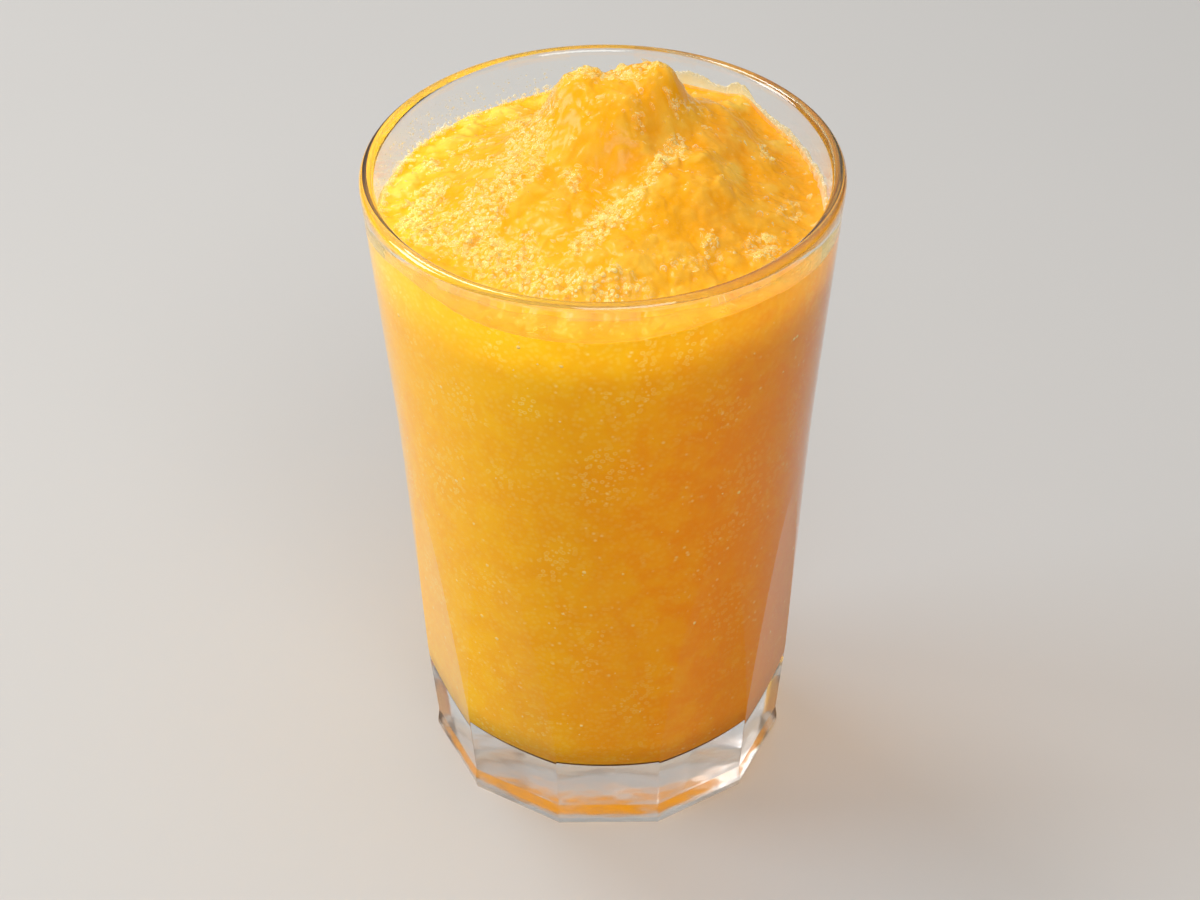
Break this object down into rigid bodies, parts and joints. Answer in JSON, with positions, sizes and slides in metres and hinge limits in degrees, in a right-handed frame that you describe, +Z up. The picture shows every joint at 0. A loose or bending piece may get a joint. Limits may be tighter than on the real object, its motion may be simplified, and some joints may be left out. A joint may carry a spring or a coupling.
{
  "type": "slush in a glass",
  "caption": "Thick orange-yellow fruit slush heaped above the lip of a tall, tapered, flat-panelled clear glass tumbler with a heavy base.",
  "frame": {"origin": "centre of the glass's underside, on the plane that it stands on", "axes": "+Z up the axis of the glass to its mouth, -Y square to one flat panel"},
  "size_m": [0.086, 0.086, 0.14],
  "materials": {
    "glass": "clear",
    "slush": "wet, icy"
  },
  "bodies": {
    "root": {"tumbler": "glass", "slush": "slush"}
  },
  "joints": []
}
